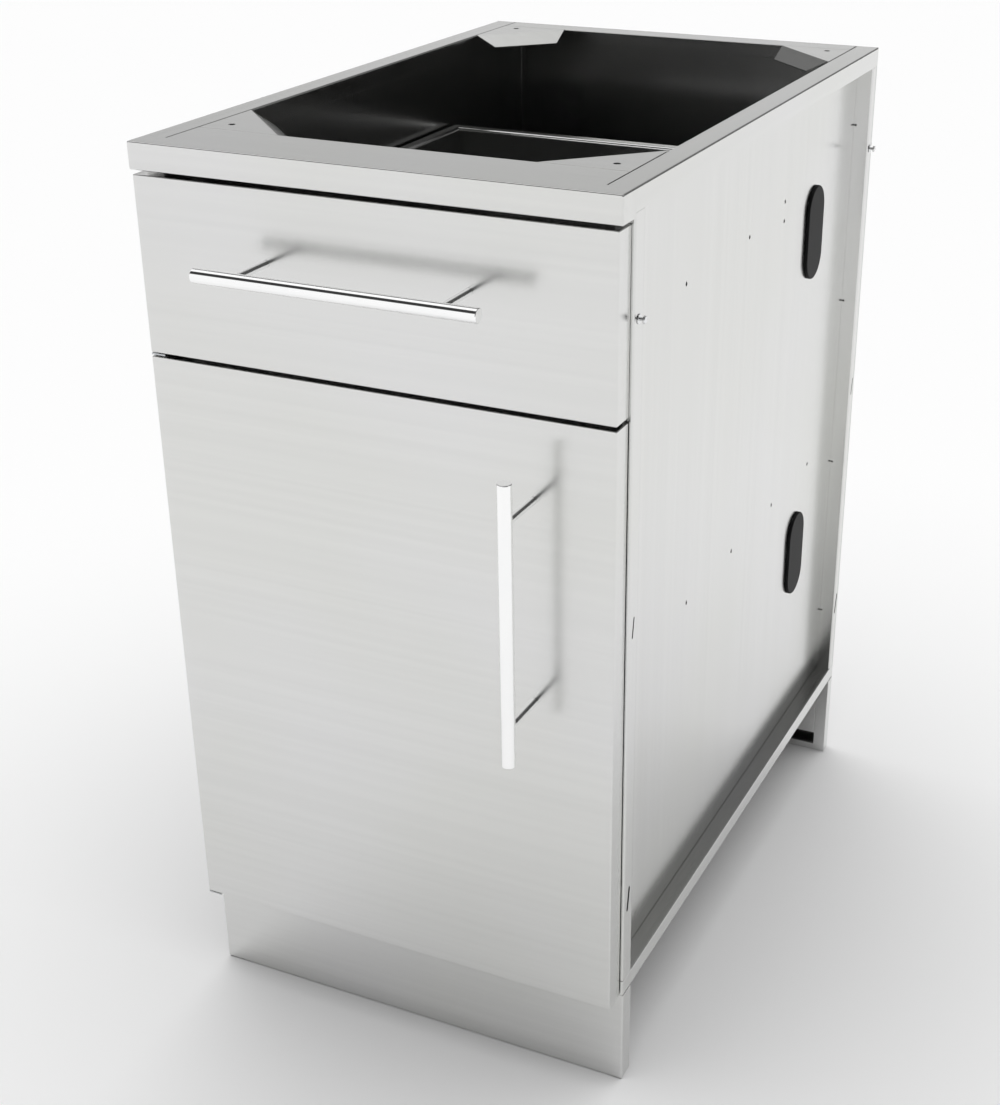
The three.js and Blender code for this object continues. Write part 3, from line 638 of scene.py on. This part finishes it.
# Rails
# The front top rail is a folded box with an open back and a wide plate whose edge is folded
# down. The side rims are box sections with a thin lip inward, welded and ground flush.
def bent_sheet(corners, thickness, bends):
    """Closed outline of a strip that follows the corners, with its thickness on the left."""
    runs = [(after - before) / abs(after - before) for before, after in zip(corners, corners[1:])]
    lefts = [run * 1j for run in runs]
    far = [corners[0] + lefts[0] * thickness]
    near_bends = []
    far_bends = []
    for corner, left, next_left, bend in zip(corners[1:], lefts, lefts[1:], bends):
        mitre = (left + next_left) / (1 + (left * next_left.conjugate()).real)
        far.append(corner + mitre * thickness)
        turns_left = (next_left / left).imag > 0
        tight = max(bend - thickness, 0)
        near_bends.append(bend if turns_left else tight)
        far_bends.append(tight if turns_left else bend)
    far.append(corners[-1] + lefts[-1] * thickness)
    return eased(corners, near_bends) + eased(far, far_bends)[::-1]


rim_gap = 0.0003
lip_bend = 0.0015
lip_depth = 0.004
plate_lip = 0.0242
ground_edge = 0.0002
rail_low, rail_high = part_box("front_top_rail")
box_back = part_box("bottom_side_rail_right")[0].y - seam
front_box = pan(rail_low, Vector((rail_high.x, box_back, rail_high.z)), "Y", 1, fold_bend, fold_bend)
rail_middle = (rail_low.x + rail_high.x) / 2
plate_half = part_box("gusset_front_right")[1].x - rail_middle
plate_outline = bent_sheet(
    [
        complex(rail_high.y, rail_high.z - plate_lip),
        complex(rail_high.y, rail_high.z),
        complex(box_back, rail_high.z),
    ],
    sheet,
    [fold_bend],
)
top_plate = drawn_out("X", plate_outline, (rail_middle - plate_half, rail_middle + plate_half))
build(
    "folded_front_rail", [front_box, top_plate], steel_across, "cabinet",
    ["front_top_rail"],
)

for side, sign in (("left", -1), ("right", 1)):
    node = f"top_side_rail_{side}"
    low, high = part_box(node)
    panel_low, panel_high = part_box(f"side_panel_{side}")
    outside, lip = (high.x, low.x) if sign > 0 else (low.x, high.x)
    inside = panel_low.x if sign > 0 else panel_high.x
    rim_foot = panel_high.z - sheet_edge
    lip_edge = lip + sign * rim_gap
    corners = [
        complex(lip_edge, high.z - lip_depth),
        complex(lip_edge, high.z),
        complex(outside, high.z),
        complex(outside, rim_foot),
        complex(inside, rim_foot),
        complex(inside, high.z - sheet),
    ]
    bends = [lip_bend, fold_bend, ground_edge, ground_edge]
    if sign > 0:
        corners.reverse()
        bends.reverse()
    rim_rings = drawn_out("Y", bent_sheet(corners, sheet, bends), (box_back, high.y))
    build(f"folded_rim_{side}", [rim_rings], steel_inward, "cabinet", [node])
dress(["middle_rail", "rear_top_rail"], steel_across, sheet_edge)


# Corner gussets
# Three-sided plates welded into the corners of the rim, each with a hole for a worktop screw.
# A mitred lip slopes down from the long edge and stiffens it.
gusset_fold = 20
dress(
    ["gusset_front_left", "gusset_front_right", "gusset_rear_left", "gusset_rear_right"],
    steel_across,
    sheet_edge / 2,
    gusset_fold,
)


# Connector studs
# Headed steel studs, turned and zinc plated, riveted into the right-hand stiles. The next
# cabinet hooks onto them.
zinc_patch_scale = 45.0
zinc_patches = (0.35, 0.65)
zinc_roughness = (0.24, 0.38)
zinc_grain_scale = 1800.0
zinc_grain_strength = 0.25
zinc_grain_depth = 0.00002


def plated_steel(name, dark, light):
    """Zinc-plated steel: bluish grey with faint cloudy patches and a soft shine."""
    material, tree, zinc = new_finish(name)
    zinc.inputs["Metallic"].default_value = 1.0
    patches = piece_noise(tree, zinc_patch_scale, 4.0, 0.6)
    tone = stretched(tree, patches, zinc_patches)
    tree.links.new(blended(tree, tone, dark, light), zinc.inputs["Base Color"])
    dull = stretched(tree, patches, zinc_patches, *zinc_roughness)
    tree.links.new(dull, zinc.inputs["Roughness"])
    raise_grain(tree, piece_noise(tree, zinc_grain_scale, 1.0), zinc_grain_strength, zinc_grain_depth, zinc)
    return material


zinc_plate = plated_steel("zinc plate", (0.50, 0.52, 0.545, 1), (0.62, 0.625, 0.61, 1))
bright_zinc = plated_steel("bright zinc plate", (0.78, 0.79, 0.80, 1), (0.86, 0.86, 0.85, 1))
stud_shank = 0.0015
stud_collar = 0.0042
stud_collar_height = 0.0007
stud_head = 0.0032
stud_head_height = 0.0020
stud_bends = [0.0003, 0, 0.0001, 0.0004, 0.0002, 0.0002, 0.0002, 0.0007]
stile_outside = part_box("front_stile_right")[1].x
# Turned pieces keep this radius at their axis, as their rings need a width
turned_core = 0.0002

for end in ("front", "rear"):
    node = f"connector_stud_{end}"
    low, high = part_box(node)
    middle = ((low.y + high.y) / 2, (low.z + high.z) / 2)
    foot = stile_outside + seam
    outline = eased(
        [
            complex(turned_core, low.x),
            complex(stud_shank, low.x),
            complex(stud_shank, foot),
            complex(stud_collar, foot),
            complex(stud_collar, foot + stud_collar_height),
            complex(stud_shank, foot + stud_collar_height),
            complex(stud_shank, high.x - stud_head_height),
            complex(stud_head, high.x - stud_head_height),
            complex(stud_head, high.x),
            complex(turned_core, high.x),
        ],
        stud_bends,
    )
    rings = turned("X", middle, outline)
    build(f"turned_stud_{end}", [rings], bright_zinc, "cabinet", [node])


# Shelf
# A pan folded down all round from one sheet. It hangs on hollow rivets that go through its
# sides and the side panels and end just inside the panels' outer faces.
def hollow_rivet(place, root, end):
    """Turned rivet along X from its root to its open end."""
    inward = (root - end) / abs(root - end)
    outline = eased(
        [
            complex(turned_core, root),
            complex(rivet_radius, root),
            complex(rivet_radius, end),
            complex(rivet_bore, end),
            complex(rivet_bore, end + inward * rivet_bore_depth),
            complex(turned_core, end + inward * rivet_bore_depth),
        ],
        rivet_bends,
    )
    return turned("X", place, outline, small_round_steps)


rivet_radius = 0.0018
rivet_bore = 0.0016
rivet_bore_depth = 0.0045
rivet_setback = 0.0011
rivet_bends = [0, 0.0002, 0.0001, 0]
shelf_rivet_inset = 0.0305
shelf_rivet_count = 4

low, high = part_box("shelf")
left_panel_low, left_panel_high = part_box("side_panel_left")
right_panel_low, right_panel_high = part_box("side_panel_right")
shelf_low = Vector((left_panel_high.x + seam, low.y, low.z))
shelf_high = Vector((right_panel_low.x - seam, high.y, high.z))
shells = [pan(shelf_low, shelf_high, "Z", -1, fold_bend, fold_bend)]
rivet_span = high.y - low.y - 2 * shelf_rivet_inset
for number in range(shelf_rivet_count):
    rivet_y = low.y + shelf_rivet_inset + rivet_span * number / (shelf_rivet_count - 1)
    place = (rivet_y, (low.z + high.z) / 2)
    shells.append(hollow_rivet(place, shelf_low.x + sheet / 2, left_panel_low.x + rivet_setback))
    shells.append(hollow_rivet(place, shelf_high.x - sheet / 2, right_panel_high.x - rivet_setback))
build("folded_shelf", shells, steel_across, "cabinet", ["shelf"])


# Drawer slides
# Three channels rolled from zinc-plated strip that run inside one another. The outer one is
# held by hollow rivets in the side panel, and the inner one by screws in the drawer's wall.
slide_strip = 0.0012
slide_bend = 0.0028
slide_stud_reach = (0.1578, 0.3238)
slide_stud_pair_inset = 0.064
slide_stud_pair_half = 0.0098

for side, sign in (("left", -1), ("right", 1)):
    panel_low, panel_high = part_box(f"side_panel_{side}")
    panel_inside = panel_low.x if sign > 0 else panel_high.x
    panel_outside = panel_high.x if sign > 0 else panel_low.x
    for part, body in (("outer", "cabinet"), ("middle", "slide_middles"), ("inner", "drawer")):
        node = f"slide_{part}_{side}"
        low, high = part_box(node)
        toward = (low.x, high.x) if sign > 0 else (high.x, low.x)
        if part == "outer":
            toward = (toward[0], panel_inside - sign * seam)
        web, tip = (toward[0], toward[1]) if part == "inner" else (toward[1], toward[0])
        corners = [complex(tip, low.z), complex(web, low.z), complex(web, high.z), complex(tip, high.z)]
        if web < tip:
            corners.reverse()
        outline = bent_sheet(corners, slide_strip, [slide_bend, slide_bend])
        shells = [drawn_out("Y", outline, (low.y, high.y))]
        if part == "outer":
            level = (low.z + high.z) / 2
            places = [(low.y + reach, level) for reach in slide_stud_reach]
            for half in (-slide_stud_pair_half, slide_stud_pair_half):
                places.append((high.y - slide_stud_pair_inset, level + half))
            root = web - sign * slide_strip / 2
            end = panel_outside - sign * rivet_setback
            shells += [hollow_rivet(place, root, end) for place in places]
        build(f"rolled_slide_{part}_{side}", shells, zinc_plate, body, [node])


# Door pivots and catch
# Zinc-plated plates under and over the door, each with a pin; they are screwed to the frame.
# The catch is a black moulded case with a magnet between two steel strips.
small_edge = 0.0003
dress(["hinge_plate_top", "hinge_plate_bottom"], zinc_plate, small_edge)

catch_edge = 0.001
catch_case_setback = 0.0014
pole_height = 0.0012
pole_gap = 0.0026
pole_inset = 0.003
magnet_setback = 0.0006
strip_edge = 0.0002
end_reach = 0.002


def boxed(low, high, edge):
    """Rings of a box along Y whose long edges and ends are rounded."""
    rings = []
    ends = eased(
        [
            complex(end_reach, low[1]),
            complex(0, low[1]),
            complex(0, high[1]),
            complex(end_reach, high[1]),
        ],
        [edge, edge],
    )
    for at in ends:
        inset = at.real
        corners = [
            complex(low[0] + inset, low[2] + inset),
            complex(high[0] - inset, low[2] + inset),
            complex(high[0] - inset, high[2] - inset),
            complex(low[0] + inset, high[2] - inset),
        ]
        start = (corners[0] + corners[1]) / 2
        loop = eased([start, *corners[1:], corners[0], start], [edge] * 4)
        rings.append([placed("Y", at.imag, point) for point in loop[:-1]])
    return rings


# Nearly black, dull and a little grainy
pressed_magnet = moulded_plastic(
    "pressed magnet", (0.018, 0.018, 0.02, 1), (0.045, 0.043, 0.042, 1), 0.6, 900.0
)
low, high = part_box("door_catch")
case = boxed((low.x, low.y + catch_case_setback, low.z), high, catch_edge)
build("catch_case", [case], black_plastic, "cabinet", ["door_catch"])
middle_z = (low.z + high.z) / 2
poles = []
for half in (-1, 1):
    centre_z = middle_z + half * (pole_gap + pole_height) / 2
    pole_low = (low.x + pole_inset, low.y, centre_z - pole_height / 2)
    pole_high = (high.x - pole_inset, low.y + catch_case_setback * 2, centre_z + pole_height / 2)
    poles.append(boxed(pole_low, pole_high, strip_edge))
build("catch_poles", poles, zinc_plate, "cabinet", ["door_catch"])
magnet_low = (low.x + pole_inset, low.y + magnet_setback, middle_z - pole_gap / 2)
magnet_high = (high.x - pole_inset, low.y + catch_case_setback * 2, middle_z + pole_gap / 2)
magnet = boxed(magnet_low, magnet_high, strip_edge)
build("catch_magnet", [magnet], pressed_magnet, "cabinet", ["door_catch"])


# Drawer box
# Sides folded from sheet, with a flange over each slide, and a back with a flange to match.
# A flat bottom and a front board close it.
box_bend = 0.0032

for side, sign in (("left", -1), ("right", 1)):
    node = f"drawer_wall_{side}"
    low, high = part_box(node)
    web, tip = (low.x, high.x) if sign > 0 else (high.x, low.x)
    corners = [complex(tip, high.z), complex(web, high.z), complex(web, low.z)]
    if sign < 0:
        corners.reverse()
    wall_rings = drawn_out("Y", bent_sheet(corners, sheet, [box_bend]), (low.y, high.y))
    build(f"folded_{node}", [wall_rings], steel_inward, "drawer", [node])

low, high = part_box("drawer_back")
wall_low, wall_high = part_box("drawer_box_front")
outline = bent_sheet(
    [complex(high.y, high.z), complex(low.y, high.z), complex(low.y, low.z)], sheet, [box_bend]
)
shells = [drawn_out("X", outline, (wall_low.x, wall_high.x))]
for near, far in ((low.x, wall_low.x), (wall_high.x, high.x)):
    tab = [
        complex(near, low.y),
        complex(far, low.y),
        complex(far, high.y),
        complex(near, high.y),
    ]
    shells.append(drawn_out("Z", tab, (high.z - sheet, high.z)))
build("folded_drawer_back", shells, steel_across, "drawer", ["drawer_back"])
dress(["drawer_bottom", "drawer_box_front"], steel_across, sheet_edge)


# Fronts
# Each front is one sheet folded back on all four sides, its corners welded and ground, with a
# flat liner let into its back. The drawer's front sits closer to the frame than the door.
front_bend = 0.0011
front_corner = 0.0010
drawer_closer = 0.0014
door_closer = 0.0006

low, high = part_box("drawer_skin")
high = Vector((high.x, high.y + drawer_closer, high.z))
drawer_rings = pan(low, high, "Y", 1, front_bend, front_corner)
build("folded_drawer_front", [drawer_rings], steel_across, "drawer", ["drawer_skin"])
low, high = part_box("door_skin")
high = Vector((high.x, high.y + door_closer, high.z))
door_rings = pan(low, high, "Y", 1, front_bend, front_corner)
build("folded_door_front", [door_rings], steel_across, "door", ["door_skin"])
dress(["drawer_liner", "door_liner"], steel_across, sheet_edge)


# Bar handles
# Polished stainless bar with eased ends on two turned posts. Button-head screws hold the posts
# from behind, through the front's sheet and its liner.
bar_radius = 0.00635
bar_end_edge = 0.0007
bar_core = 0.001
post_radius = 0.00325
post_spacing = 0.192
bar_round_steps = 72
bar_dark = (0.94, 0.945, 0.95, 1)
bar_light = (0.98, 0.98, 0.975, 1)
bar_haze_scale = 30.0
bar_haze = (0.35, 0.65)
bar_roughness = (0.04, 0.10)


def polished_bar(name):
    """Mirror-polished stainless with the faintest polishing marks."""
    material, tree, bright = new_finish(name)
    bright.inputs["Metallic"].default_value = 1.0
    haze = piece_noise(tree, bar_haze_scale, 3.0)
    tree.links.new(blended(tree, haze, bar_dark, bar_light), bright.inputs["Base Color"])
    tree.links.new(stretched(tree, haze, bar_haze, *bar_roughness), bright.inputs["Roughness"])
    return material


screw_round_steps = 48
screw_shank = 0.0018
screw_head_height = 0.002
screw_dome = 0.0012
screw_tip_edge = 0.0005
screw_rim_edge = 0.0002
socket_edge = 0.0013
socket_depth = 0.0011
socket_flat = 0.00115


def socket_screw(middle, head, tip, head_radius):
    """Button-head screw along Y with a six-sided socket; its head stands out towards +Y."""
    face = head - screw_head_height
    outline = eased(
        [
            complex(turned_core, tip),
            complex(screw_shank, tip),
            complex(screw_shank, face),
            complex(head_radius, face),
            complex(head_radius, head),
            complex(socket_edge, head),
        ],
        [screw_tip_edge, 0, screw_rim_edge, screw_dome],
    )
    rings = turned("Y", middle, outline, screw_round_steps)
    side_turn = math.pi / 3
    for depth in (0.0, socket_depth):
        ring = []
        for step in range(screw_round_steps):
            turn = 2 * math.pi * step / screw_round_steps
            reach = socket_flat / math.cos((turn + side_turn / 2) % side_turn - side_turn / 2)
            ring.append(placed("Y", head - depth, complex(*middle) + reach * cmath.exp(1j * turn)))
        rings.append(ring)
    return rings


bar_finish = polished_bar("polished bar steel")

for front in ("drawer", "door"):
    node = f"{front}_handle"
    low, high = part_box(node)
    bar_y = low.y + bar_radius
    foot = high.y
    axis = "X" if front == "drawer" else "Z"
    long_low, long_high = (low.x, high.x) if axis == "X" else (low.z, high.z)
    cross = (low.z + high.z) / 2 if axis == "X" else (low.x + high.x) / 2
    centre = (long_low + long_high) / 2
    outline = eased(
        [
            complex(bar_core, long_low),
            complex(bar_radius, long_low),
            complex(bar_radius, long_high),
            complex(bar_core, long_high),
        ],
        [bar_end_edge, bar_end_edge],
    )
    middle = (bar_y, cross) if axis == "X" else (cross, bar_y)
    bar = turned(axis, middle, outline, bar_round_steps)
    posts = []
    for end in (-1, 1):
        along = centre + end * post_spacing / 2
        spot = (along, cross) if axis == "X" else (cross, along)
        outline = eased(
            [
                complex(turned_core, bar_y),
                complex(post_radius, bar_y),
                complex(post_radius, foot),
                complex(turned_core, foot),
            ],
            [0, small_edge],
        )
        posts.append(turned("Y", spot, outline))
        number = 1 if end < 0 else 2
        node_of_screw = f"{front}_handle_screw_{number}"
        screw_low, screw_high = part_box(node_of_screw)
        screw = socket_screw(
            ((screw_low.x + screw_high.x) / 2, (screw_low.z + screw_high.z) / 2),
            screw_high.y,
            screw_low.y,
            (screw_high.x - screw_low.x) / 2,
        )
        name = f"socket_screw_{front}_{number}"
        build(name, [screw], zinc_plate, front, [node_of_screw])
    build(f"polished_{front}_handle", [bar, *posts], bar_finish, front, [node])


# Door fittings
# Nylon bushes turn on the pivot pins. A zinc-plated strike meets the catch, and two clear
# rubber bumpers keep the door off the stile.
white_nylon = moulded_plastic(
    "white nylon", (0.66, 0.655, 0.61, 1), (0.72, 0.715, 0.68, 1), 0.42, 1200.0
)
clear_rubber = moulded_plastic(
    "clear rubber", (0.74, 0.74, 0.70, 1), (0.82, 0.82, 0.79, 1), 0.22, 700.0
)
rubber_clearness = 0.6
rubber_core = 0.0008
bumper_foot_edge = 0.0002
bumper_dome = 0.0014
rubber_shader = clear_rubber.node_tree.nodes["Principled BSDF"]
rubber_shader.inputs["Transmission Weight"].default_value = rubber_clearness
dress(["door_bush_bottom", "door_bush_top"], white_nylon, small_edge)
dress(["door_strike_plate"], zinc_plate, small_edge)

for end in ("bottom", "top"):
    node = f"door_bumper_{end}"
    low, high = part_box(node)
    radius = (high.x - low.x) / 2
    outline = eased(
        [
            complex(turned_core, low.y),
            complex(radius, low.y),
            complex(radius, high.y),
            complex(rubber_core, high.y),
        ],
        [bumper_foot_edge, bumper_dome],
    )
    rings = turned("Y", ((low.x + high.x) / 2, (low.z + high.z) / 2), outline)
    build(f"rubber_bumper_{end}", [rings], clear_rubber, "door", [node])
